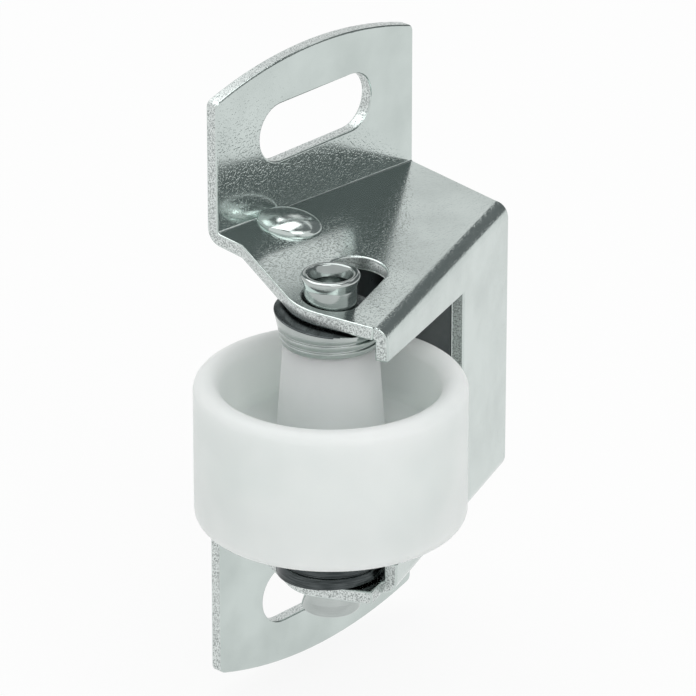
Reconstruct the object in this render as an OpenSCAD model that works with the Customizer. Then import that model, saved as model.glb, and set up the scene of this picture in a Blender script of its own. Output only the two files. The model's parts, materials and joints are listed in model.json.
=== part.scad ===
// Roller catch: a folded steel bracket with a sprung plastic roller on a sliding pin.
// The ears' backs lie on the plane Y = 0, X runs along the ears and Z is up.

/* [Sheet] */
// Thickness of the bracket's sheet steel
sheet_t = 1.05; // [0.8:0.05:1.3]
// Inside radius of the folds
fold_r = 0.15; // [0.1:0.05:0.6]
// Thinning of each face of the sheet in a fold
fold_thin = 0.02; // [0.01:0.005:0.03]

/* [Ears] */
// Width of each screw ear
ear_w = 21.5; // [19:0.5:26]
// Height of the ears' tips above the middle
ear_tip_z = 24.9; // [23.5:0.1:28]
// Rise of the arched end edge over its corners
ear_arch = 1.7; // [0.8:0.1:3]
// Radius of the ears' corners
ear_corner_r = 0.6; // [0.3:0.1:1.5]
// Distance between the two screw slots
screw_pitch = 38; // [36:0.5:40]
// Width of a screw slot
screw_slot_w = 4.5; // [3.5:0.1:5]
// Length of a screw slot
screw_slot_len = 12.2; // [8:0.2:15]

/* [Wall and arms] */
// Height of the side wall over its folds
wall_h = 22.5; // [21.8:0.1:24]
// Distance from the panel to the wall's outer face at the ears' right edge
wall_reach = 10.5; // [9:0.1:13]
// Angle between the wall and the panel
wall_angle = 20.7; // [16:0.1:25]
// Angle by which the upper arm is splayed away from square
upper_splay = 6.4; // [4:0.1:8]
// Angle by which the lower arm is splayed away from square
lower_splay = 2.5; // [1:0.1:6]
// Height by which the wall stops short at its lower fold
lower_lift = 0.5; // [0:0.1:0.8]
// Length by which the lower flange stops short of the upper one
lower_flange_cut = 1.9; // [0:0.1:3]
// Gap between the wall's post and the roller pressed right in
post_gap = 0.4; // [0.3:0.1:1]
// Depth of the flange strip at the post
flange_root = 3.5; // [2.8:0.1:4]
// Depth of the flange strip at its tip
flange_tip = 2.5; // [1.8:0.1:3]
// Length of the arm's straight edge beside the ear
arm_step = 2.4; // [1.8:0.1:3.5]
// Distance that the arm reaches past the pin
arm_nose = 2.85; // [2.5:0.05:4]
// Radius of the arm's front corner
arm_nose_r = 4; // [2:0.1:4.5]
// Slant of the arm's left edge from the wall's line
arm_slant = 45; // [42:0.5:47]
// Width of the slide slots
slide_slot_w = 4.2; // [4.05:0.05:4.3]
// Length of the slide slots between their end centres
slide_slot_run = 5.5; // [4:0.1:7]
// Radius of the gusset pressed into the corner of ear and arm
gusset_r = 3.6; // [2.5:0.1:5]
// Rise of the gusset on the ear
gusset_rise = 0.8; // [0.5:0.1:1.5]
// Reach of the gusset onto the arm
gusset_reach = 4.2; // [2.5:0.1:5]
// Distance of the gusset from the ear's left edge
gusset_place = 5.6; // [4:0.1:17]

/* [Roller and pin] */
// Diameter of the roller
roller_d = 20; // [18:0.1:20.4]
// Height of the roller's rim
roller_h = 11; // [8:0.1:12]
// Thickness of the rim
rim_t = 1.9; // [1.2:0.1:3]
// Rounding of the rim's edges
rim_round = 0.85; // [0.2:0.05:0.9]
// Thickness of the web between rim and hub
web_t = 2; // [1.2:0.1:4]
// Diameter of the hub's ends
hub_end_d = 6.9; // [6:0.1:7.4]
// Diameter of the hub at the web
hub_root_d = 8; // [7.5:0.1:9]
// Diameter of the pin
pin_d = 3.9; // [3.6:0.05:3.95]
// Height of the pin's ends above the arms
pin_stand = 1.95; // [1.4:0.05:2.5]
// Diameter of the flared ends
flare_d = 4.5; // [4.4:0.05:5]
// Height of each flare
flare_h = 0.9; // [0.5:0.1:1.2]
// Wall thickness of the hollow ends
pin_wall = 0.6; // [0.4:0.05:0.9]
// Depth of the hollow in each end
hollow_depth = 2.4; // [1.5:0.1:4]
// Diameter of a collar at the arm
collar_d = 8.1; // [7.4:0.05:8.3]
// Diameter of a collar at the hub
collar_hub_d = 7.2; // [6.8:0.1:7.4]
// Height of a collar at the pin
collar_h = 2.1; // [1.5:0.1:3]
// Gap between a collar's sloping face and the arm
collar_gap = 0.15; // [0.1:0.05:0.3]
// Radial play of the roller on the pin
roller_play = 0.08; // [0.04:0.01:0.1]
// Radial play of the collars on the pin
collar_play = 0.03; // [0.01:0.01:0.08]
// Gap between the hub's ends and the collars
hub_gap = 0.1; // [0.05:0.05:0.3]
// Distance of the pin from the wall's outer face
pin_off = 5.5; // [5.3:0.1:5.8]
// Distance of the pin at rest past the ears' left edge
pin_past_ear = 0.96; // [0.5:0.02:1.5]
// Travel of the pin in its slots
pin_travel = 3.5; // [2.5:0.1:3.8]

/* [Return spring] */
// Thickness of the leaf
leaf_t = 0.4; // [0.3:0.05:0.5]
// Gap between the leaf's edges and the arms' folds
leaf_edge_gap = 0.6; // [0.4:0.1:1]
// Radius of the leaf's bends at its middle
leaf_bend_r = 1.4; // [1:0.1:1.8]
// Length of the tab fixed to the post
leaf_tab = 6; // [4:0.1:6.4]
// Distance of the leaf's long run from the wall's outer face
leaf_off = 9.6; // [9.4:0.1:10]
// Gap between the roller's rim and the edges of the leaf's window
leaf_window_gap = 1.8; // [1:0.1:2]
// Gap between the leaf's fingers and the collars at rest
leaf_gap = 0.1; // [0.05:0.05:0.3]
// How far the fingers reach past the pin's middle, towards the wall
leaf_finger = 2; // [1:0.1:3]

/* [Hidden] */
$fn = 96;

steel_colour = "#c3c7c6";
spring_colour = "#6f7373";
plastic_colour = "#eef1ee";

// Longer than anything that is cut or trimmed
far = 4 * ear_tip_z;
// Small overlap that keeps a cut clear of a face
over = 0.5;
// Angle by which a fold runs on into the flat sheet beside it
fold_lap = 8;

// The bracket's two sides, each with the height of its fold, its splay and how far its flange stops short
upper_side = [wall_h / 2, upper_splay, 0];
lower_side = [wall_h / 2 - lower_lift, lower_splay, lower_flange_cut];

// Fold between wall and arm, seen along the wall
fold_outer_r = fold_r + sheet_t;
wall_fold_y = fold_outer_r;
wall_end = fold_outer_r * (1 - sin(upper_splay)) * tan(wall_angle);
function wall_fold_z(side) = side[0] + tan(side[1]) * fold_outer_r - fold_outer_r / cos(side[1]);

// Places along the wall, measured from its end at the ears' right edge
pin_x = (pin_off * sin(wall_angle) - ear_w - pin_past_ear) / cos(wall_angle);
post_x = pin_x + pin_travel + sqrt(pow(roller_d / 2, 2) - pow(pin_off - sheet_t, 2)) + post_gap;
arm_front_x = pin_x - arm_nose;
function flange_front_x(side) = arm_front_x + fold_r + side[2];

// Height of the arm's outer face over a place off the wall's outer face
function arm_top(side, off) = side[0] + tan(side[1]) * off;
// Distance of a place on the panel's plan from the wall's outer face
function off_wall(x, y) = (ear_w / 2 - x) * sin(wall_angle) + (y + wall_reach) * cos(wall_angle);
// Distance of a place on the panel's plan along the wall
function along_wall(x, y) = (x - ear_w / 2) * cos(wall_angle) + (y + wall_reach) * sin(wall_angle);

// Fold between arm and ear, which leans because the arm is splayed
ear_fold_y = -sheet_t - fold_r;
function ear_fold_z(side) = arm_top(side, off_wall(0, ear_fold_y)) + fold_r / cos(side[1]);
function ear_fold_lean(side) = atan(tan(side[1]) * sin(wall_angle));
function arm_fall(side) = asin(sin(side[1]) * cos(wall_angle));

// Slope of the gusset's ridge from the ear down to the arm
function gusset_slope(side) = atan(gusset_rise / gusset_reach + tan(arm_fall(side)));

// Arched end of the ears
ear_arc_r = (pow(ear_w / 2, 2) + pow(ear_arch, 2)) / (2 * ear_arch);
ear_arc_z = ear_tip_z - ear_arc_r;
ear_corner_x = ear_w / 2 - ear_corner_r;
ear_corner_z = ear_arc_z + sqrt(pow(ear_arc_r - ear_corner_r, 2) - pow(ear_corner_x, 2));

// The arm's left edge, in the wall's frame: a step beside the ear, a slant and a rounded front corner
step_y = -sheet_t - arm_step;
step_place = [along_wall(-ear_w / 2, step_y), off_wall(-ear_w / 2, step_y)];
slant_at_front = step_place[1] - (step_place[0] - arm_front_x) * tan(arm_slant);
nose_turn = 90 - arm_slant;
nose_tangent = arm_nose_r * tan(nose_turn / 2);
nose_centre = [arm_front_x + arm_nose_r, slant_at_front - nose_tangent];

// Roller, collars and pin, stacked up to the inner face of each side's arm
roller_r = roller_d / 2;
bore_r = pin_d / 2 + roller_play;
function collar_top(side) = arm_top(side, pin_off) - sheet_t / cos(side[1]) - collar_gap;
function collar_base(side) = collar_top(side) - collar_h;
function hub_end(side) = collar_base(side) - hub_gap;
function pin_end(side) = arm_top(side, pin_off) + pin_stand;

// Leaf spring, seen from above in the wall's frame
leaf_half = leaf_t / 2;
leaf_h = 2 * (min(wall_fold_z(upper_side), wall_fold_z(lower_side)) - leaf_edge_gap);
leaf_window = roller_h + 2 * leaf_window_gap;
leaf_tab_y = sheet_t + leaf_half;
leaf_tab_x = post_x + leaf_half + (leaf_bend_r - leaf_half) / 2;
leaf_back_x = leaf_tab_x + leaf_tab + leaf_bend_r;
leaf_finger_x = pin_x + collar_d / 2 + leaf_gap + leaf_half;
leaf_finger_end = pin_off - leaf_finger;
leaf_window_x = post_x + leaf_t;

// Moves a piece to the wall's frame: X along the wall, Y off its outer face
module at_wall() {
  translate([ear_w / 2, -wall_reach, 0]) rotate([0, 0, wall_angle]) children();
}

// Moves a piece to the middle of a side's ear fold, X along the fold
module at_ear_fold(side) {
  translate([0, ear_fold_y, ear_fold_z(side)]) rotate([0, ear_fold_lean(side), 0]) children();
}

// A fold along X, a little thinned, from one angle round to another
module fold(from, to, length) {
  rotate([90, 0, 90]) rotate([0, 0, from - fold_lap]) rotate_extrude(angle = to - from + 2 * fold_lap)
    translate([fold_r + fold_thin, 0]) square([sheet_t - 2 * fold_thin, length]);
}

// A slot with round ends along X, cut along Z
module slot_cut(width, run, depth) {
  for (end = [-1, 1]) translate([end * run / 2, 0, 0]) cylinder(d = width, h = depth, center = true);
  cube([run, width, depth], center = true);
}

// Outline of an ear, down to below its fold
module ear_outline() {
  difference() {
    intersection() {
      translate([0, ear_arc_z]) circle(r = ear_arc_r, $fn = 360);
      translate([-ear_w / 2, 0]) square([ear_w, ear_tip_z + over]);
    }
    for (side = [-1, 1]) scale([side, 1]) difference() {
      polygon([
        [ear_corner_x, ear_corner_z],
        [ear_w / 2 + over, ear_corner_z],
        [ear_w / 2 + over, ear_tip_z],
        [ear_corner_x * ear_arc_r / (ear_arc_r - ear_corner_r), ear_tip_z],
        [ear_corner_x * ear_arc_r / (ear_arc_r - ear_corner_r),
         ear_arc_z + (ear_corner_z - ear_arc_z) * ear_arc_r / (ear_arc_r - ear_corner_r)],
      ]);
      translate([ear_corner_x, ear_corner_z]) circle(r = ear_corner_r);
    }
  }
}

// Plan of the arm in the wall's frame
module arm_plan() {
  union() {
    polygon([
      [arm_front_x, 0],
      [arm_front_x, nose_centre[1]],
      nose_centre,
      nose_centre + arm_nose_r * [-sin(arm_slant), cos(arm_slant)],
      step_place,
      [along_wall(-ear_w / 2, 0), off_wall(-ear_w / 2, 0)],
      [along_wall(ear_w / 2, 0), off_wall(ear_w / 2, 0)],
      [0, 0],
    ]);
    translate(nose_centre) circle(r = arm_nose_r);
  }
}

// A side's ear with its screw slot; each side is drawn above the middle
module ear(side) {
  difference() {
    intersection() {
      rotate([90, 0, 0]) linear_extrude(sheet_t) ear_outline();
      at_ear_fold(side) translate([-far / 2, 0, 0]) cube(far);
      translate([-far / 2, -far / 2, 0]) cube(far);
    }
    translate([0, 0, screw_pitch / 2]) rotate([90, 0, 0])
      slot_cut(screw_slot_w, screw_slot_len - screw_slot_w, far);
  }
}

// Fold from the ear to the arm
module ear_fold(side) {
  intersection() {
    at_ear_fold(side) translate([-ear_w, 0, 0]) fold(arm_fall(side) - 90, 0, 2 * ear_w);
    translate([-ear_w / 2, -far / 2, 0]) cube([ear_w, far, far]);
  }
}

// A side's arm, between the ear's fold and the wall's fold
module arm(side) {
  difference() {
    intersection() {
      at_wall() linear_extrude(far) arm_plan();
      at_wall() translate([-far / 2, wall_fold_y, wall_fold_z(side)]) rotate([side[1], 0, 0])
        translate([0, 0, fold_r]) cube([far, far, sheet_t]);
      at_ear_fold(side) rotate([arm_fall(side), 0, 0]) translate([-far / 2, -far, -far / 2]) cube(far);
    }
    at_wall() translate([pin_x + slide_slot_run / 2, pin_off, 0])
      slot_cut(slide_slot_w, slide_slot_run, far);
  }
}

// Fold from the arm to the wall
module wall_fold(side) {
  at_wall() translate([flange_front_x(side), wall_fold_y, wall_fold_z(side)])
    fold(90 + side[1], 180, wall_end - flange_front_x(side));
}

// Side wall, cut away in front of the roller
module wall() {
  at_wall() rotate([90, 0, 0]) translate([0, 0, -sheet_t]) linear_extrude(sheet_t) difference() {
    translate([flange_front_x(upper_side), -wall_fold_z(lower_side)])
      square([wall_end - flange_front_x(upper_side), wall_fold_z(upper_side) + wall_fold_z(lower_side)]);
    polygon([
      [post_x, upper_side[0] - flange_root],
      [flange_front_x(upper_side), upper_side[0] - flange_tip],
      [flange_front_x(upper_side) - over, upper_side[0] - flange_tip],
      [flange_front_x(upper_side) - over, -wall_h],
      [flange_front_x(lower_side), -wall_h],
      [flange_front_x(lower_side), flange_tip - lower_side[0]],
      [post_x, flange_root - lower_side[0]],
    ]);
  }
}

// Round ridge across the corner of ear and arm, sunk by a depth
module gusset_ridge(side, sunk) {
  at_ear_fold(side) translate([gusset_place - ear_w / 2, fold_r, gusset_rise - fold_r])
    rotate([90 + gusset_slope(side), 0, 0]) translate([0, -gusset_r - sunk, 0])
      cylinder(r = gusset_r, h = far, center = true);
}

// Stiffening gusset, pressed up from behind, so that it rises over the corner of the sheet
module gusset(side) {
  intersection() {
    gusset_ridge(side, 0);
    at_ear_fold(side) rotate([arm_fall(side), 0, 0])
      translate([-far / 2, -far / 2, -fold_r - sheet_t / 2]) cube(far);
    at_ear_fold(side) translate([-far / 2, fold_r + sheet_t / 2 - far, -far / 2]) cube(far);
  }
}

module bracket_half(side) {
  difference() {
    union() {
      ear(side);
      ear_fold(side);
      arm(side);
      wall_fold(side);
      gusset(side);
    }
    gusset_ridge(side, sheet_t);
  }
}

module bracket() {
  color(steel_colour) {
    wall();
    bracket_half(upper_side);
    mirror([0, 0, 1]) bracket_half(lower_side);
  }
}

module at_pin() {
  at_wall() translate([pin_x, pin_off, 0]) children();
}

// One half of the rim, rounded at its end
module rim_half() {
  square([rim_t, roller_h / 2 - rim_round]);
  translate([rim_round, 0]) square([rim_t - 2 * rim_round, roller_h / 2]);
  for (x = [rim_round, rim_t - rim_round]) translate([x, roller_h / 2 - rim_round]) circle(r = rim_round);
}

module roller() {
  color(plastic_colour) at_pin() {
    for (side = [upper_side, lower_side]) mirror([0, 0, side == lower_side ? 1 : 0]) rotate_extrude() {
      translate([roller_r - rim_t, 0]) rim_half();
      translate([bore_r, 0]) square([roller_r - rim_t / 2 - bore_r, web_t / 2]);
      polygon([
        [bore_r, 0],
        [hub_root_d / 2, 0],
        [hub_root_d / 2, web_t / 2],
        [hub_end_d / 2, hub_end(side)],
        [bore_r, hub_end(side)],
      ]);
    }
  }
}

module axle_pin() {
  top = pin_end(upper_side);
  foot = -pin_end(lower_side);
  hollow_r = pin_d / 2 - pin_wall;
  color(steel_colour) at_pin() rotate_extrude() {
    polygon([
      [0, foot + hollow_depth],
      [hollow_r, foot + hollow_depth],
      [hollow_r, foot + flare_h],
      [flare_d / 2 - pin_wall, foot],
      [flare_d / 2, foot],
      [pin_d / 2, foot + flare_h],
      [pin_d / 2, top - flare_h],
      [flare_d / 2, top],
      [flare_d / 2 - pin_wall, top],
      [hollow_r, top - flare_h],
      [hollow_r, top - hollow_depth],
      [0, top - hollow_depth],
    ]);
  }
}

// A conical collar above the hub, its upper face sloped to lie along the splayed arm
module collar(side) {
  at_pin() difference() {
    translate([0, 0, collar_base(side)])
      cylinder(d1 = collar_hub_d, d2 = 2 * collar_d - collar_hub_d, h = 2 * collar_h);
    cylinder(r = pin_d / 2 + collar_play, h = far);
    translate([0, 0, collar_top(side)]) rotate([side[1], 0, 0]) translate([-far / 2, -far / 2, 0]) cube(far);
  }
}

module upper_collar() {
  color(steel_colour) collar(upper_side);
}

module lower_collar() {
  color(steel_colour) mirror([0, 0, 1]) collar(lower_side);
}

// A quarter bend of the leaf about its centre, a little thinned, starting at an angle
module leaf_bend(centre, from) {
  translate([centre[0], centre[1], -leaf_h / 2]) rotate([0, 0, from - fold_lap])
    rotate_extrude(angle = 90 + 2 * fold_lap)
      translate([leaf_bend_r - leaf_half + fold_thin, 0]) square([leaf_t - 2 * fold_thin, leaf_h]);
}

// A straight run of the leaf between two corners of its plan
module leaf_run(low, high) {
  translate([low[0], low[1], -leaf_h / 2]) cube([high[0] - low[0], high[1] - low[1], leaf_h]);
}

module return_spring() {
  back_x = leaf_back_x - leaf_bend_r;
  front_x = leaf_finger_x + leaf_bend_r;
  color(spring_colour) at_wall() difference() {
    union() {
      leaf_run([leaf_tab_x, sheet_t], [back_x, sheet_t + leaf_t]);
      leaf_bend([back_x, leaf_tab_y + leaf_bend_r], 270);
      leaf_run([leaf_back_x - leaf_half, leaf_tab_y + leaf_bend_r], [leaf_back_x + leaf_half, leaf_off - leaf_bend_r]);
      leaf_bend([back_x, leaf_off - leaf_bend_r], 0);
      leaf_run([front_x, leaf_off - leaf_half], [back_x, leaf_off + leaf_half]);
      leaf_bend([front_x, leaf_off - leaf_bend_r], 90);
      leaf_run([leaf_finger_x - leaf_half, leaf_finger_end], [leaf_finger_x + leaf_half, leaf_off - leaf_bend_r]);
    }
    translate([leaf_window_x - far, -far / 2, -leaf_window / 2]) cube([far, far, leaf_window]);
  }
}

bracket();
roller();
axle_pin();
upper_collar();
lower_collar();
return_spring();
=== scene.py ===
import json
import math
import bmesh
import bpy
from mathutils import Matrix, Vector
from mathutils.geometry import intersect_point_line


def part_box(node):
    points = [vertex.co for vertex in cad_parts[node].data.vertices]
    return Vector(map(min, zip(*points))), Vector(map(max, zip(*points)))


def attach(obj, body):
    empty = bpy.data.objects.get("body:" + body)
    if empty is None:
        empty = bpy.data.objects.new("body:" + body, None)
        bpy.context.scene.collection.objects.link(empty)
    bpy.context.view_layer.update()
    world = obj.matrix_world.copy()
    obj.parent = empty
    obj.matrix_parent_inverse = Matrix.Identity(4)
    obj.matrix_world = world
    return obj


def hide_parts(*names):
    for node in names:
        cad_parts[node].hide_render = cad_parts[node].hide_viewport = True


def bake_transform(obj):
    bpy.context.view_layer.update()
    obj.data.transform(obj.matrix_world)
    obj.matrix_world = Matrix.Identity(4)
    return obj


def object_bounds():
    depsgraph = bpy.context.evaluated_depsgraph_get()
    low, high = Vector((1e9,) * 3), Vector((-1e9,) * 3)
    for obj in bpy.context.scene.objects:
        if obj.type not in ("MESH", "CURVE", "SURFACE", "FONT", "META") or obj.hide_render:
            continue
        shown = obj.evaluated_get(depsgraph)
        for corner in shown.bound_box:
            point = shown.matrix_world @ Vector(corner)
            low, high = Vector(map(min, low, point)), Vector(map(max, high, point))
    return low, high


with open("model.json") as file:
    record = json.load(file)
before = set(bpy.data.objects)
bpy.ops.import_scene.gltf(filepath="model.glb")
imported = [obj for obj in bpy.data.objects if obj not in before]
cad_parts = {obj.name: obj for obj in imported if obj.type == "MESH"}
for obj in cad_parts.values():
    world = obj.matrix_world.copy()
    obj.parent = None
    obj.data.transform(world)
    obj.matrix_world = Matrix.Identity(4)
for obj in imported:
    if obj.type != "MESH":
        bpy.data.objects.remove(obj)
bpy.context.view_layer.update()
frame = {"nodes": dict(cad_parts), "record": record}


# Bracket
# The one folded piece that carries everything: a steel blank, pierced, pressed and bent, then barrel-plated
# with bright nickel. Tumbling in the plating barrel has taken the sharpness off its sheared edges.
MM = 0.001
sheet_t = 1.05 * MM
sheared_across = 1.25 * MM
sheared_angle = math.radians(50)
bracket_edge = 0.14 * MM
bracket_edge_steps = 3
bracket_merge = 0.06 * MM
bracket_flat = math.radians(0.4)
bracket_crease = math.radians(32)
wall_angle = math.radians(20.7)
off_wall = Vector((-math.sin(wall_angle), math.cos(wall_angle), 0))
wall_corner = Vector((10.75, -10.5, 0)) * MM
wall_fold = 2.0 * MM
nickel_tint = "#CBD4D1"
nickel_shade = "#C0C9C6"
nickel_cloud = 5.0 * MM
nickel_peen = 0.30 * MM
nickel_peen_depth = 0.003 * MM
nickel_pit = 0.17 * MM
nickel_pit_depth = 0.0065 * MM
nickel_rolling = 0.14 * MM
shear_tint = "#DDE3E1"
shear_shade = "#949A99"
shear_line = 0.11 * MM
shear_depth = 0.006 * MM
cloud_low = 0.35
cloud_high = 0.65

# A Mix node's colour sockets share their names with its others, so they go by number.
mix_share, mix_first, mix_second, mixed = 0, 6, 7, 2


def linear(hex_colour):
    """An sRGB hex colour as the linear RGBA that a socket takes."""
    channels = [int(hex_colour[i:i + 2], 16) / 255 for i in (1, 3, 5)]
    return [c / 12.92 if c <= 0.04045 else ((c + 0.055) / 1.055) ** 2.4 for c in channels] + [1.0]


def add(tree, kind, inputs, **settings):
    """Adds a node with its settings; an input is a value or the socket that feeds it."""
    made = tree.nodes.new(kind)
    for key, value in settings.items():
        setattr(made, key, value)
    for socket, value in inputs.items():
        if isinstance(value, bpy.types.NodeSocket):
            tree.links.new(value, made.inputs[socket])
        else:
            made.inputs[socket].default_value = value
    return made


def new_material(name):
    """An empty node material and its tree."""
    made = bpy.data.materials.new(name)
    made.use_nodes = True
    made.node_tree.nodes.clear()
    return made, made.node_tree


def finished(shape, name, crease):
    """Turns a bmesh into an object at the origin, smooth but for edges sharper than the crease."""
    mesh = bpy.data.meshes.new(name)
    shape.to_mesh(mesh)
    shape.free()
    for face in mesh.polygons:
        face.use_smooth = True
    mesh.set_sharp_from_angle(angle=crease)
    piece = bpy.data.objects.new(name, mesh)
    bpy.context.collection.objects.link(piece)
    return piece


# Bright nickel on rolled steel: a mirror softened by tumbling, so it shows fine dimples, faint rolling lines,
# slow clouds of duller plate, and tiny pits that glitter where the mirror is dark. Real rolling lines and
# pits are too fine for the picture, so they are drawn as coarse as they need to show.
bright_nickel, tree = new_material("bright_nickel_plate")
place = add(tree, "ShaderNodeTexCoord", {}).outputs["Object"]
clouds = add(tree, "ShaderNodeTexNoise", {"Vector": place, "Scale": 1 / nickel_cloud, "Detail": 3.0})
spread = add(tree, "ShaderNodeMapRange", {
    "Value": clouds.outputs["Fac"], "From Min": cloud_low, "From Max": cloud_high})
peening = add(tree, "ShaderNodeTexNoise", {"Vector": place, "Scale": 1 / nickel_peen, "Detail": 3.0})
specks = add(tree, "ShaderNodeTexNoise", {"Vector": place, "Scale": 1 / nickel_pit, "Detail": 2.0})
along = add(tree, "ShaderNodeMapping", {"Vector": place, "Scale": (0.06, 1.0, 1.0)})
rolling = add(tree, "ShaderNodeTexNoise", {
    "Vector": along.outputs["Vector"], "Scale": 1 / nickel_rolling, "Detail": 2.0})
tint = add(tree, "ShaderNodeMix", {
    mix_share: spread.outputs["Result"], mix_first: linear(nickel_shade),
    mix_second: linear(nickel_tint)}, data_type="RGBA")
dulling = add(tree, "ShaderNodeMapRange", {
    "Value": spread.outputs["Result"], "To Min": 0.16, "To Max": 0.10})
pitting = add(tree, "ShaderNodeMapRange", {
    "Value": specks.outputs["Fac"], "From Min": 0.54, "From Max": 0.68})
lines = add(tree, "ShaderNodeBump", {
    "Height": rolling.outputs["Fac"], "Strength": 0.05, "Distance": nickel_peen_depth})
dimples = add(tree, "ShaderNodeBump", {
    "Height": peening.outputs["Fac"], "Strength": 0.6, "Distance": nickel_peen_depth,
    "Normal": lines.outputs["Normal"]})
pits = add(tree, "ShaderNodeBump", {
    "Height": pitting.outputs["Result"], "Strength": 1.0, "Distance": nickel_pit_depth,
    "Normal": dimples.outputs["Normal"]}, invert=True)
skin = add(tree, "ShaderNodeBsdfPrincipled", {
    "Base Color": tint.outputs[mixed], "Metallic": 1.0, "Roughness": dulling.outputs["Result"],
    "Normal": pits.outputs["Normal"]})
add(tree, "ShaderNodeOutputMaterial", {"Surface": skin.outputs["BSDF"]})

# The sheared edges took the same plate over a torn surface, so they are duller and show dark shear marks.
sheared_nickel, tree = new_material("nickel_over_sheared_edge")
place = add(tree, "ShaderNodeTexCoord", {}).outputs["Object"]
tearing = add(tree, "ShaderNodeTexNoise", {"Vector": place, "Scale": 1 / shear_line, "Detail": 4.0})
spread = add(tree, "ShaderNodeMapRange", {
    "Value": tearing.outputs["Fac"], "From Min": 0.36, "From Max": 0.56})
tint = add(tree, "ShaderNodeMix", {
    mix_share: spread.outputs["Result"], mix_first: linear(shear_shade),
    mix_second: linear(shear_tint)}, data_type="RGBA")
dulling = add(tree, "ShaderNodeMapRange", {
    "Value": spread.outputs["Result"], "To Min": 0.55, "To Max": 0.32})
scuffs = add(tree, "ShaderNodeBump", {
    "Height": tearing.outputs["Fac"], "Strength": 0.6, "Distance": shear_depth})
skin = add(tree, "ShaderNodeBsdfPrincipled", {
    "Base Color": tint.outputs[mixed], "Metallic": 1.0, "Roughness": dulling.outputs["Result"],
    "Normal": scuffs.outputs["Normal"]})
add(tree, "ShaderNodeOutputMaterial", {"Surface": skin.outputs["BSDF"]})

# The punch that pressed the gussets has burnished them, so the plate there is smooth and mirrors the lamp.
burnished_nickel, tree = new_material("nickel_over_burnished_steel")
place = add(tree, "ShaderNodeTexCoord", {}).outputs["Object"]
rubbing = add(tree, "ShaderNodeTexNoise", {"Vector": place, "Scale": 1 / nickel_peen, "Detail": 3.0})
dulling = add(tree, "ShaderNodeMapRange", {
    "Value": rubbing.outputs["Fac"], "From Min": cloud_low, "From Max": cloud_high,
    "To Min": 0.10, "To Max": 0.24})
dimples = add(tree, "ShaderNodeBump", {
    "Height": rubbing.outputs["Fac"], "Strength": 0.4, "Distance": nickel_peen_depth})
skin = add(tree, "ShaderNodeBsdfPrincipled", {
    "Base Color": linear(nickel_tint), "Metallic": 1.0, "Roughness": dulling.outputs["Result"],
    "Normal": dimples.outputs["Normal"]})
add(tree, "ShaderNodeOutputMaterial", {"Surface": skin.outputs["BSDF"]})

# A corner by the wall's folds can lie a hair off a longer edge. That edge is split there and the two are
# merged, so that no sliver is left, and a flat that the merge drops is closed again.
plain = frame["nodes"]["bracket"]
shape = bmesh.new()
shape.from_mesh(plain.data)
bmesh.ops.remove_doubles(shape, verts=shape.verts, dist=bracket_merge)
bmesh.ops.dissolve_limit(shape, angle_limit=bracket_flat, verts=shape.verts, edges=shape.edges)
for vert in [v for v in shape.verts if (v.co - wall_corner).dot(off_wall) < wall_fold]:
    for edge in shape.edges[:]:
        if vert in edge.verts:
            continue
        foot, part = intersect_point_line(vert.co, edge.verts[0].co, edge.verts[1].co)
        reach = bracket_merge / edge.calc_length()
        if reach < part < 1 - reach and (foot - vert.co).length < bracket_merge:
            bmesh.utils.edge_split(edge, edge.verts[0], part)
bmesh.ops.remove_doubles(shape, verts=shape.verts, dist=bracket_merge)
bmesh.ops.holes_fill(shape, edges=[e for e in shape.edges if e.is_boundary], sides=0)
bmesh.ops.recalc_face_normals(shape, faces=shape.faces)

# Each corner of ear and arm is stiffened by a gusset. Its nose was rounded by the punch, so a low dome is set
# over the plain ridge, and the ridge is drawn in under it.
gusset_at = Vector((-5.2, -3.1)) * MM
gusset_half = Vector((2.1, 2.5, 0.95)) * MM
gusset_root = 0.25 * MM
gusset_shrink = 0.4
gusset_sides = 64
gusset_rings = 32
ridge_from = Vector((-7.6, -5.4)) * MM
ridge_to = Vector((-2.7, -1.02)) * MM
ridge_reach = 1.2 * MM
ridge_below = 0.06 * MM
pressed_from = Vector((-7.8, -5.6)) * MM
pressed_to = Vector((-2.5, -0.2)) * MM
pressed_height = 15 * MM
flat_spot = Vector((3.0, -3.5)) * MM
probe_height = 40 * MM


def over_arm(spot, slope, x, y):
    """The height of an arm's outer face over a place on the plan, from one spot on it and its slope."""
    return spot.z - ((x - spot.x) * slope.x + (y - spot.y) * slope.y) / slope.z


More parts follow.
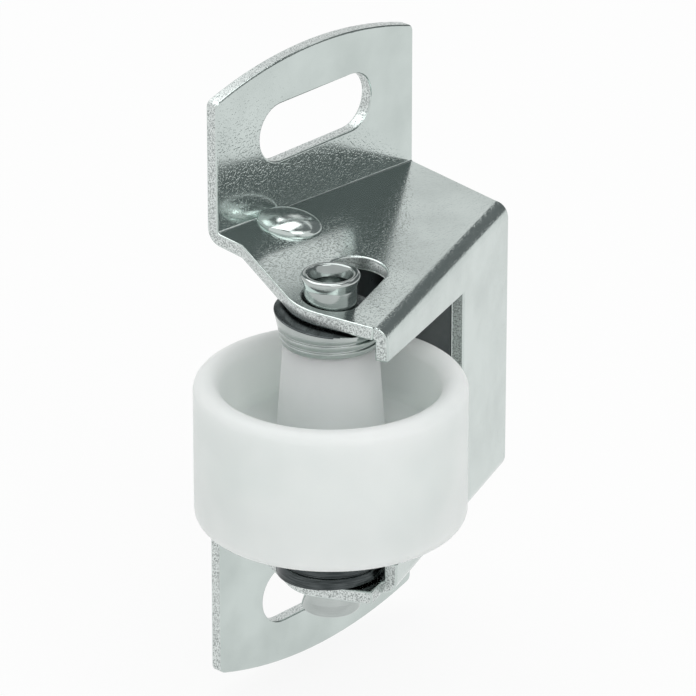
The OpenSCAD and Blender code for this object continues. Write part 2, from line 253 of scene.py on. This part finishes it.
domes = []
for side in (1, -1):
    found = plain.ray_cast((flat_spot.x, flat_spot.y, side * probe_height), (0, 0, -side))
    spot = found[1]
    slope = found[2] if found[2].z * side > 0 else -found[2]
    fold = Vector((gusset_at.x, -sheet_t, over_arm(spot, slope, gusset_at.x, -sheet_t)))
    ridge = [v for v in shape.verts if ridge_from.x < v.co.x < ridge_to.x
             and ridge_from.y < v.co.y < ridge_to.y
             and -ridge_below < (v.co.z - over_arm(spot, slope, v.co.x, v.co.y)) * side < ridge_reach]
    bmesh.ops.scale(shape, verts=ridge, vec=(gusset_shrink,) * 3, space=Matrix.Translation(-fold))

    dome = bmesh.new()
    bmesh.ops.create_uvsphere(dome, u_segments=gusset_sides, v_segments=gusset_rings, radius=1)
    bmesh.ops.scale(dome, verts=dome.verts, vec=gusset_half)
    seat = Vector((gusset_at.x, gusset_at.y, over_arm(spot, slope, gusset_at.x, gusset_at.y)))
    bmesh.ops.rotate(dome, verts=dome.verts, cent=(0, 0, 0),
                     matrix=slope.to_track_quat("Z", "Y").to_matrix())
    bmesh.ops.translate(dome, verts=dome.verts, vec=seat)
    for cut_at, away in ((seat - slope * gusset_root, -slope),
                         (Vector((0, gusset_root - sheet_t, 0)), Vector((0, 1, 0)))):
        bmesh.ops.bisect_plane(dome, geom=dome.verts[:] + dome.edges[:] + dome.faces[:],
                               plane_co=cut_at, plane_no=away, clear_outer=True)
        bmesh.ops.holes_fill(dome, edges=dome.edges, sides=0)
    bmesh.ops.recalc_face_normals(dome, faces=dome.faces)
    domes.append(dome)

# The plate, the sheared edges and the gussets have their own finishes. The edges round the outline and the
# slots are eased, and those of the pressed ridges stay as they are.
plated, sheared, burnished = 0, 1, 2
for face in shape.faces:
    soft = [e.calc_length() for e in face.edges
            if len(e.link_faces) == 2 and e.calc_face_angle() < sheared_angle]
    face.material_index = sheared if max(soft, default=0) < sheared_across else plated
creased = [e for e in shape.edges if len(e.link_faces) == 2 and e.calc_face_angle_signed() > bracket_crease]
outline = [e for e in creased if not all(pressed_from.x < v.co.x < pressed_to.x
                                         and pressed_from.y < v.co.y < pressed_to.y
                                         and abs(v.co.z) < pressed_height for v in e.verts)]
rounded = bmesh.ops.bevel(shape, geom=outline, offset=bracket_edge, offset_type="OFFSET", affect="EDGES",
                          segments=bracket_edge_steps, profile=0.5, material=-1, clamp_overlap=False)
for face in rounded["faces"]:
    face.material_index = plated
bmesh.ops.recalc_face_normals(shape, faces=shape.faces)
for dome in domes:
    for face in dome.faces:
        face.material_index = burnished
    pressed = bpy.data.meshes.new("pressed_nose")
    dome.to_mesh(pressed)
    dome.free()
    shape.from_mesh(pressed)
    bpy.data.meshes.remove(pressed)
bracket = finished(shape, "folded_bracket", bracket_crease)
bracket.data.materials.append(bright_nickel)
bracket.data.materials.append(sheared_nickel)
bracket.data.materials.append(burnished_nickel)
flatten = bracket.modifiers.new("even_flats", "WEIGHTED_NORMAL")
flatten.keep_sharp = True
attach(bracket, "frame")
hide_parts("bracket")


# Roller
# One moulding of natural white plastic, a little milky: a thin rim with a full round edge, a web half-way up
# and a long tapered hub that runs on the pin. Sizes of turned pieces are in millimetres.
roller_low, roller_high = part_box("roller")
roller_r = 10.0
rim_half = 5.5
rim_inner = 8.1
rim_draft = 0.06
rim_round = 0.85
web_half = 1.0
web_fillet = 0.7
hub_root = 4.0
hub_tip = 3.45
hub_fillet = 0.9
hub_round = 0.25
hub_top = roller_high.z / MM
hub_foot = roller_low.z / MM
bore = 2.03
bore_ease = 0.12
roller_sides = 144
roller_steps = 6
roller_crease = math.radians(40)
turned_merge = 0.001 * MM
plastic_tint = "#E2E7E5"
plastic_shade = "#DAE0DE"
plastic_cloud = 7.0 * MM
plastic_grain = 0.35 * MM
plastic_grain_depth = 0.004 * MM
plastic_soak = 6.0 * MM
pin_joint = next(j for j in frame["record"]["behaviour"]["joints"] if j["name"] == "roller_spin")
pin_place = Vector(pin_joint["pos_m"])


def eased(corners, steps):
    """A profile in millimetres with its corners rounded: each is a radius, a height and the easing there."""
    points = []
    for i, (radius, height, ease) in enumerate(corners):
        here = Vector((radius, height))
        if ease == 0:
            points.append(here)
            continue
        back = (Vector(corners[i - 1][:2]) - here).normalized()
        on = (Vector(corners[(i + 1) % len(corners)][:2]) - here).normalized()
        half = back.angle(on) / 2
        middle = here + (back + on).normalized() * (ease / math.sin(half))
        first = here + back * (ease / math.tan(half)) - middle
        last = here + on * (ease / math.tan(half)) - middle
        turn = first.angle_signed(last)
        for step in range(steps + 1):
            part = -turn * step / steps
            points.append(middle + Matrix.Rotation(part, 2) @ first)
    return points


def turned(profile, closed, sides):
    """A bmesh turned about the pin's line from a profile of radius and height."""
    shape = bmesh.new()
    verts = [shape.verts.new((p.x * MM, 0, p.y * MM)) for p in profile]
    edges = [shape.edges.new(pair) for pair in zip(verts, verts[1:] + (verts[:1] if closed else []))]
    bmesh.ops.spin(shape, geom=verts + edges, cent=(0, 0, 0), axis=(0, 0, 1), angle=2 * math.pi,
                   steps=sides, use_merge=True)
    bmesh.ops.remove_doubles(shape, verts=shape.verts, dist=turned_merge)
    bmesh.ops.recalc_face_normals(shape, faces=shape.faces)
    bmesh.ops.translate(shape, verts=shape.verts, vec=(pin_place.x, pin_place.y, 0))
    return shape


# Natural acetal-like plastic, moulded in a plain tool: an even satin skin that light soaks into a little.
milky_plastic, tree = new_material("natural_white_plastic")
place = add(tree, "ShaderNodeTexCoord", {}).outputs["Object"]
clouds = add(tree, "ShaderNodeTexNoise", {"Vector": place, "Scale": 1 / plastic_cloud, "Detail": 2.0})
spread = add(tree, "ShaderNodeMapRange", {
    "Value": clouds.outputs["Fac"], "From Min": cloud_low, "From Max": cloud_high})
tint = add(tree, "ShaderNodeMix", {
    mix_share: spread.outputs["Result"], mix_first: linear(plastic_shade),
    mix_second: linear(plastic_tint)}, data_type="RGBA")
grain = add(tree, "ShaderNodeTexNoise", {"Vector": place, "Scale": 1 / plastic_grain, "Detail": 3.0})
dulling = add(tree, "ShaderNodeMapRange", {
    "Value": grain.outputs["Fac"], "From Min": 0.3, "From Max": 0.7, "To Min": 0.40, "To Max": 0.52})
skin_marks = add(tree, "ShaderNodeBump", {
    "Height": grain.outputs["Fac"], "Strength": 0.15, "Distance": plastic_grain_depth})
skin = add(tree, "ShaderNodeBsdfPrincipled", {
    "Base Color": tint.outputs[mixed], "Roughness": dulling.outputs["Result"], "IOR": 1.48,
    "Normal": skin_marks.outputs["Normal"], "Subsurface Weight": 1.0, "Subsurface Scale": plastic_soak,
    "Subsurface Radius": (1.0, 1.0, 0.97)})
add(tree, "ShaderNodeOutputMaterial", {"Surface": skin.outputs["BSDF"]})

shape = turned(eased([
    (bore, hub_foot, bore_ease),
    (hub_tip, hub_foot, hub_round),
    (hub_root, -web_half, hub_fillet),
    (rim_inner - rim_draft, -web_half, web_fillet),
    (rim_inner, -rim_half, rim_round),
    (roller_r, -rim_half, rim_round),
    (roller_r, rim_half, rim_round),
    (rim_inner, rim_half, rim_round),
    (rim_inner - rim_draft, web_half, web_fillet),
    (hub_root, web_half, hub_fillet),
    (hub_tip, hub_top, hub_round),
    (bore, hub_top, bore_ease),
], roller_steps), True, roller_sides)
roller = finished(shape, "white_roller", roller_crease)
roller.data.materials.append(milky_plastic)
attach(roller, "wheel")
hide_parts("roller")


# Axle pin
# A hollow-ended steel pin, set after assembly: a punch has spread each end into a small rolled flare, so that
# it can't slip out of the arms' slots.
pin_low, pin_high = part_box("axle_pin")
pin_r = 1.95
flare_r = 2.25
flare_h = 0.9
pin_wall = 0.6
hollow_depth = 2.4
hollow_ease = 0.3
lip_ease = 0.22
neck_ease = 0.6
pin_top = pin_high.z / MM
pin_foot = pin_low.z / MM
pin_sides = 72
pin_steps = 5
pin_crease = math.radians(45)
turning_line = 0.07 * MM
turning_depth = 0.004 * MM
turned_tint = "#BBC1BF"
turned_shade = "#9DA4A2"

# Nickel over turned steel: a mirror with fine rings left by the lathe, a little darker than the bracket. The
# rings are drawn coarser than real ones, so that they show.
turned_nickel, tree = new_material("nickel_over_turned_steel")
place = add(tree, "ShaderNodeTexCoord", {}).outputs["Object"]
level = add(tree, "ShaderNodeMapping", {"Vector": place, "Scale": (0.05, 0.05, 1.0)})
turning = add(tree, "ShaderNodeTexNoise", {
    "Vector": level.outputs["Vector"], "Scale": 1 / turning_line, "Detail": 3.0})
clouds = add(tree, "ShaderNodeTexNoise", {"Vector": place, "Scale": 1 / nickel_cloud, "Detail": 3.0})
spread = add(tree, "ShaderNodeMapRange", {
    "Value": clouds.outputs["Fac"], "From Min": cloud_low, "From Max": cloud_high})
tint = add(tree, "ShaderNodeMix", {
    mix_share: spread.outputs["Result"], mix_first: linear(turned_shade),
    mix_second: linear(turned_tint)}, data_type="RGBA")
dulling = add(tree, "ShaderNodeMapRange", {
    "Value": turning.outputs["Fac"], "From Min": 0.3, "From Max": 0.7, "To Min": 0.08, "To Max": 0.2})
rings = add(tree, "ShaderNodeBump", {
    "Height": turning.outputs["Fac"], "Strength": 0.35, "Distance": turning_depth})
skin = add(tree, "ShaderNodeBsdfPrincipled", {
    "Base Color": tint.outputs[mixed], "Metallic": 1.0, "Roughness": dulling.outputs["Result"],
    "Normal": rings.outputs["Normal"]})
add(tree, "ShaderNodeOutputMaterial", {"Surface": skin.outputs["BSDF"]})

shape = turned(eased([
    (0, pin_foot + hollow_depth, 0),
    (pin_r - pin_wall, pin_foot + hollow_depth, hollow_ease),
    (pin_r - pin_wall, pin_foot + flare_h, neck_ease),
    (flare_r - pin_wall, pin_foot, lip_ease),
    (flare_r, pin_foot, lip_ease),
    (pin_r, pin_foot + flare_h, neck_ease),
    (pin_r, pin_top - flare_h, neck_ease),
    (flare_r, pin_top, lip_ease),
    (flare_r - pin_wall, pin_top, lip_ease),
    (pin_r - pin_wall, pin_top - flare_h, neck_ease),
    (pin_r - pin_wall, pin_top - hollow_depth, hollow_ease),
    (0, pin_top - hollow_depth, 0),
], pin_steps), False, pin_sides)
axle_pin = finished(shape, "flared_pin", pin_crease)
axle_pin.data.materials.append(turned_nickel)
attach(axle_pin, "carriage")
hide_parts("axle_pin")


# Collars
# Two turned steel cones that fill the gap between the hub and the arms. The outer face of each is faced off
# at the arm's slope, and two shallow grooves run round it next to the hub.
collar_base_r = 3.6
collar_flare = 0.45
collar_h = 2.1
collar_spare = 0.6
collar_bore = 1.98
collar_ease = 0.12
groove_starts = (0.45, 1.05)
groove_w = 0.2
groove_depth = 0.10
groove_slant = 0.06
groove_lip = 0.05
groove_root = 0.04
collar_edge = 0.10 * MM
collar_keen = math.radians(50)
collar_crease = math.radians(40)
collar_sides = 96
collar_steps = 3
upper_splay = math.radians(6.4)
lower_splay = math.radians(2.5)
# Heights over each base from which a cone is painted near-black as shade, the shade next to its arm.
upper_shade_painted_from = 1.85
lower_shade_painted_from = 0.45
painted_shade_light = "#565B5C"
painted_shade_deep = "#3A3F40"
cone_bright, cone_painted_shade = 0, 1

# Painted shade on turned steel towards the arm: a near-black mirror with fine rings, drawn as on the pin.
painted_shade_steel, tree = new_material("steel_with_painted_shade")
place = add(tree, "ShaderNodeTexCoord", {}).outputs["Object"]
level = add(tree, "ShaderNodeMapping", {"Vector": place, "Scale": (0.05, 0.05, 1.0)})
turning = add(tree, "ShaderNodeTexNoise", {
    "Vector": level.outputs["Vector"], "Scale": 1 / turning_line, "Detail": 3.0})
spread = add(tree, "ShaderNodeMapRange", {
    "Value": turning.outputs["Fac"], "From Min": cloud_low, "From Max": cloud_high})
tint = add(tree, "ShaderNodeMix", {
    mix_share: spread.outputs["Result"], mix_first: linear(painted_shade_deep),
    mix_second: linear(painted_shade_light)}, data_type="RGBA")
dulling = add(tree, "ShaderNodeMapRange", {
    "Value": spread.outputs["Result"], "To Min": 0.34, "To Max": 0.22})
rings = add(tree, "ShaderNodeBump", {
    "Height": turning.outputs["Fac"], "Strength": 0.3, "Distance": turning_depth})
skin = add(tree, "ShaderNodeBsdfPrincipled", {
    "Base Color": tint.outputs[mixed], "Metallic": 1.0, "Roughness": dulling.outputs["Result"],
    "Normal": rings.outputs["Normal"]})
add(tree, "ShaderNodeOutputMaterial", {"Surface": skin.outputs["BSDF"]})


def cone_radius(rise):
    """A collar's radius at a height over its base, in millimetres."""
    return collar_base_r + collar_flare / collar_h * rise


def collar(name, node, splay, side, shade_painted_from):
    """A turned cone with grooves, faced off at its arm's slope and painted near-black as shade from a height
    over its base.
    """
    low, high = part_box(node)
    base = low.z / MM if side > 0 else -high.z / MM
    tall = (high.z - low.z) / MM + collar_spare
    corners = [(collar_bore, base, 0), (cone_radius(0), base, collar_ease)]
    for start in groove_starts:
        end = start + groove_w
        floor_r = cone_radius(start) - groove_depth
        corners += [(cone_radius(start), base + start, groove_lip),
                    (floor_r, base + start + groove_slant, groove_root),
                    (floor_r, base + end - groove_slant, groove_root),
                    (cone_radius(end), base + end, groove_lip)]
    corners += [(cone_radius(tall), base + tall, 0), (collar_bore, base + tall, 0)]
    shape = turned(eased(corners, collar_steps), True, collar_sides)
    slope = off_wall * -math.sin(splay) + Vector((0, 0, math.cos(splay)))
    cut = bmesh.ops.bisect_plane(shape, geom=shape.verts[:] + shape.edges[:] + shape.faces[:],
                                 plane_co=(pin_place.x, pin_place.y, (base + collar_h) * MM),
                                 plane_no=slope, clear_outer=True)
    rims = [e for e in cut["geom_cut"] if isinstance(e, bmesh.types.BMEdge)]
    bmesh.ops.bridge_loops(shape, edges=rims)
    bmesh.ops.recalc_face_normals(shape, faces=shape.faces)
    keen = [e for e in shape.edges if len(e.link_faces) == 2 and e.calc_face_angle() > collar_keen]
    bmesh.ops.bevel(shape, geom=keen, offset=collar_edge, offset_type="OFFSET", affect="EDGES",
                    segments=2, profile=0.5, material=-1, clamp_overlap=True)
    # Faces above that height take the painted shade. Those below keep the bright nickel.
    for face in shape.faces:
        rise = face.calc_center_median().z / MM - base
        face.material_index = cone_painted_shade if rise > shade_painted_from else cone_bright
    if side < 0:
        bmesh.ops.scale(shape, verts=shape.verts, vec=(1, 1, -1))
        bmesh.ops.reverse_faces(shape, faces=shape.faces)
    piece = finished(shape, name, collar_crease)
    piece.data.materials.append(turned_nickel)
    piece.data.materials.append(painted_shade_steel)
    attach(piece, "carriage")
    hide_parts(node)


collar("upper_cone", "upper_collar", upper_splay, 1, upper_shade_painted_from)
collar("lower_cone", "lower_collar", lower_splay, -1, lower_shade_painted_from)


# Return spring
# A leaf of oiled spring steel: a tab on the wall's post, a bend back behind the roller, a long run with a
# window that the roller turns in, and two fingers that push on the collars. Its sizes are in millimetres.
leaf_t = 0.4
leaf_bend = 1.4
leaf_half_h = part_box("return_spring")[1].z / MM
leaf_window = 7.3
leaf_tab_from = -8.28
leaf_tab_to = -2.28
leaf_tab_off = 1.25
leaf_run_off = 9.6
leaf_run_from = -16.18
leaf_finger_off = 3.5
leaf_window_from = -8.68
leaf_bend_steps = 8
leaf_edge = 0.05 * MM
leaf_keen = math.radians(60)
leaf_crease = math.radians(35)
spring_tint = "#7D8282"
spring_shade = "#5E6466"
spring_cloud = 3.0 * MM
spring_line = 0.12 * MM
spring_line_depth = 0.004 * MM
inwards = Vector((math.cos(wall_angle), math.sin(wall_angle), 0))

# Hardened strip in its thin film of oil: blue-grey, half bright, with lines along the strip from rolling. The
# lines are drawn coarser than real ones, so that they show.
oiled_steel, tree = new_material("oiled_spring_steel")
place = add(tree, "ShaderNodeTexCoord", {}).outputs["Object"]
clouds = add(tree, "ShaderNodeTexNoise", {"Vector": place, "Scale": 1 / spring_cloud, "Detail": 4.0})
spread = add(tree, "ShaderNodeMapRange", {
    "Value": clouds.outputs["Fac"], "From Min": cloud_low, "From Max": cloud_high})
tint = add(tree, "ShaderNodeMix", {
    mix_share: spread.outputs["Result"], mix_first: linear(spring_shade),
    mix_second: linear(spring_tint)}, data_type="RGBA")
length = add(tree, "ShaderNodeMapping", {"Vector": place, "Scale": (0.08, 0.08, 1.0)})
drawing = add(tree, "ShaderNodeTexNoise", {
    "Vector": length.outputs["Vector"], "Scale": 1 / spring_line, "Detail": 3.0})
dulling = add(tree, "ShaderNodeMapRange", {
    "Value": clouds.outputs["Fac"], "From Min": 0.3, "From Max": 0.7, "To Min": 0.24, "To Max": 0.4})
lines = add(tree, "ShaderNodeBump", {
    "Height": drawing.outputs["Fac"], "Strength": 0.3, "Distance": spring_line_depth})
skin = add(tree, "ShaderNodeBsdfPrincipled", {
    "Base Color": tint.outputs[mixed], "Metallic": 1.0, "Roughness": dulling.outputs["Result"],
    "Normal": lines.outputs["Normal"], "Coat Weight": 0.15, "Coat Roughness": 0.25})
add(tree, "ShaderNodeOutputMaterial", {"Surface": skin.outputs["BSDF"]})


def on_plan(along, off, height):
    """A place given along the wall, off the wall's outer face and in height, in millimetres."""
    return wall_corner + (inwards * along + off_wall * off) * MM + Vector((0, 0, height * MM))


def quarter_bend(along, off, start):
    """The points of a quarter bend on plan, round a middle, from a start angle in degrees."""
    angles = [math.radians(start + 90 * step / leaf_bend_steps) for step in range(leaf_bend_steps + 1)]
    return [(along + leaf_bend * math.cos(angle), off + leaf_bend * math.sin(angle)) for angle in angles]


# The leaf is a grid laid along its route on plan, with its window cut out and then given its thickness.
route = [(leaf_tab_from, leaf_tab_off)]
route += quarter_bend(leaf_tab_to, leaf_tab_off + leaf_bend, -90)
route += quarter_bend(leaf_tab_to, leaf_run_off - leaf_bend, 0)
window_at = len(route)
route += [(leaf_window_from, leaf_run_off)]
route += quarter_bend(leaf_run_from, leaf_run_off - leaf_bend, 90)
route += [(leaf_run_from - leaf_bend, leaf_finger_off)]
levels = (-leaf_half_h, -leaf_window, leaf_window, leaf_half_h)
run = len(route) - 1
shape = bmesh.new()
bmesh.ops.create_grid(shape, x_segments=run, y_segments=len(levels) - 1, size=1)
for i, vert in enumerate(shape.verts):
    vert.co = on_plan(*route[i % len(route)], levels[i // len(route)])
bmesh.ops.delete(shape, geom=shape.faces[run + window_at:2 * run], context="FACES")
shape.normal_update()
for vert in shape.verts:
    vert.co += vert.normal * (leaf_t / 2 * MM)
bmesh.ops.solidify(shape, geom=shape.faces[:], thickness=leaf_t * MM)
bmesh.ops.recalc_face_normals(shape, faces=shape.faces)
keen = [e for e in shape.edges if len(e.link_faces) == 2 and e.calc_face_angle() > leaf_keen]
bmesh.ops.bevel(shape, geom=keen, offset=leaf_edge, offset_type="OFFSET", affect="EDGES",
                segments=2, profile=0.5, material=-1, clamp_overlap=True)
spring = finished(shape, "leaf_spring", leaf_crease)
spring.data.materials.append(oiled_steel)
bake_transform(spring)
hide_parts("return_spring")


# Studio
# A pale floor under the part, a soft lamp in front and a broad one overhead that only the plate mirrors, two
# grey cards, beside and above, that give the plate its dark parts, and a long lens at the photograph's angle.
floor_colour = "#F4F5F4"
paper_white = "#FFFFFF"
floor_white_share = 0.88
floor_drop = 0.2 * MM
floor_reach = 1.2
card_colour = "#7E8283"
card_distance = 0.55
card_toward = Vector((0.86, -0.30, 0.42))
card_size = (0.95, 0.42)
ceiling_toward = Vector((0.0, 0.02, 1.0))
ceiling_size = (0.9, 0.9)
air_strength = 0.88
softbox_place = Vector((-0.16, -0.34, 0.40))
softbox_size = (0.30, 0.25)
softbox_watts = 0.45
overhead_place = Vector((-0.05, 0.13, 0.48))
overhead_size = (0.6, 0.6)
overhead_watts = 2.4
view_azimuth = math.radians(-47.85)
view_elevation = math.radians(24.5)
view_distance = 446.9 * MM
view_near = 0.01
view_scale_px = 13.45
image_px = 696
view_aim = Vector((-1.275, -8.95, 0.0)) * MM
view_offset = (2.67 * MM, -2.81 * MM)
sensor_mm = 36.0

# Matt pale paper that takes the object's shadow. To the lens and to mirrors it is mostly plain white.
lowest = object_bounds()[0].z - floor_drop
shape = bmesh.new()
bmesh.ops.create_grid(shape, x_segments=1, y_segments=1, size=floor_reach)
bmesh.ops.translate(shape, verts=shape.verts, vec=(0, 0, lowest))
floor = finished(shape, "floor", bracket_crease)
floor_paint, tree = new_material("pale_floor")
rays = add(tree, "ShaderNodeLightPath", {})
seen = add(tree, "ShaderNodeMath", {0: rays.outputs["Is Camera Ray"], 1: rays.outputs["Is Glossy Ray"]},
           operation="MAXIMUM")
seen = add(tree, "ShaderNodeMath", {0: seen.outputs["Value"], 1: rays.outputs["Is Transmission Ray"]},
           operation="MAXIMUM")
share = add(tree, "ShaderNodeMath", {0: seen.outputs["Value"], 1: floor_white_share}, operation="MULTIPLY")
matt = add(tree, "ShaderNodeBsdfDiffuse", {"Color": linear(floor_colour)})
white = add(tree, "ShaderNodeEmission", {"Color": linear(paper_white), "Strength": 1.0})
both = add(tree, "ShaderNodeMixShader", {
    0: share.outputs["Value"], 1: matt.outputs["BSDF"], 2: white.outputs["Emission"]})
add(tree, "ShaderNodeOutputMaterial", {"Surface": both.outputs["Shader"]})
floor.data.materials.append(floor_paint)

# Matt grey board, seen only where the plate mirrors it.
card_paint, tree = new_material("grey_card_paint")
matt = add(tree, "ShaderNodeBsdfDiffuse", {"Color": linear(card_colour)})
add(tree, "ShaderNodeOutputMaterial", {"Surface": matt.outputs["BSDF"]})
for name, toward, (wide, tall) in (("grey_card", card_toward, card_size),
                                   ("grey_ceiling", ceiling_toward, ceiling_size)):
    shape = bmesh.new()
    bmesh.ops.create_grid(shape, x_segments=1, y_segments=1, size=0.5)
    bmesh.ops.scale(shape, verts=shape.verts, vec=(wide, tall, 1))
    facing = toward.normalized().to_track_quat("Z", "Y").to_matrix().to_4x4()
    bmesh.ops.transform(shape, verts=shape.verts,
                        matrix=Matrix.Translation(toward.normalized() * card_distance) @ facing)
    card = finished(shape, name, bracket_crease)
    card.data.materials.append(card_paint)
    card.visible_camera = False
    card.visible_diffuse = False
    card.visible_shadow = False

world = bpy.data.worlds.new("studio_air")
bpy.context.scene.world = world
world.use_nodes = True
tree = world.node_tree
tree.nodes.clear()
air = add(tree, "ShaderNodeBackground", {"Color": linear(paper_white), "Strength": air_strength})
add(tree, "ShaderNodeOutputWorld", {"Surface": air.outputs["Background"]})

for name, stand, (wide, tall), watts, on_matt in (
        ("softbox", softbox_place, softbox_size, softbox_watts, True),
        ("overhead_softbox", overhead_place, overhead_size, overhead_watts, False)):
    lamp_data = bpy.data.lights.new(name, "AREA")
    lamp_data.shape = "RECTANGLE"
    lamp_data.size = wide
    lamp_data.size_y = tall
    lamp_data.energy = watts
    lamp = bpy.data.objects.new(name, lamp_data)
    bpy.context.collection.objects.link(lamp)
    lamp.location = stand
    lamp.rotation_euler = (-stand).to_track_quat("-Z", "Y").to_euler()
    lamp.visible_diffuse = on_matt

right = Vector((math.cos(view_azimuth), math.sin(view_azimuth), 0))
back = Vector((math.sin(view_azimuth) * math.cos(view_elevation),
               -math.cos(view_azimuth) * math.cos(view_elevation), math.sin(view_elevation)))
up = back.cross(right)
lens = bpy.data.cameras.new("long_lens")
lens.sensor_width = sensor_mm
lens.lens = sensor_mm * view_scale_px * view_distance / MM / image_px
lens.clip_start = view_near
camera = bpy.data.objects.new("long_lens", lens)
bpy.context.collection.objects.link(camera)
target = view_aim - right * view_offset[0] - up * view_offset[1]
camera.matrix_world = Matrix.Translation(target + back * view_distance) @ Matrix(
    (right, up, back)).transposed().to_4x4()
bpy.context.scene.camera = camera
bpy.context.scene.view_settings.view_transform = "Standard"
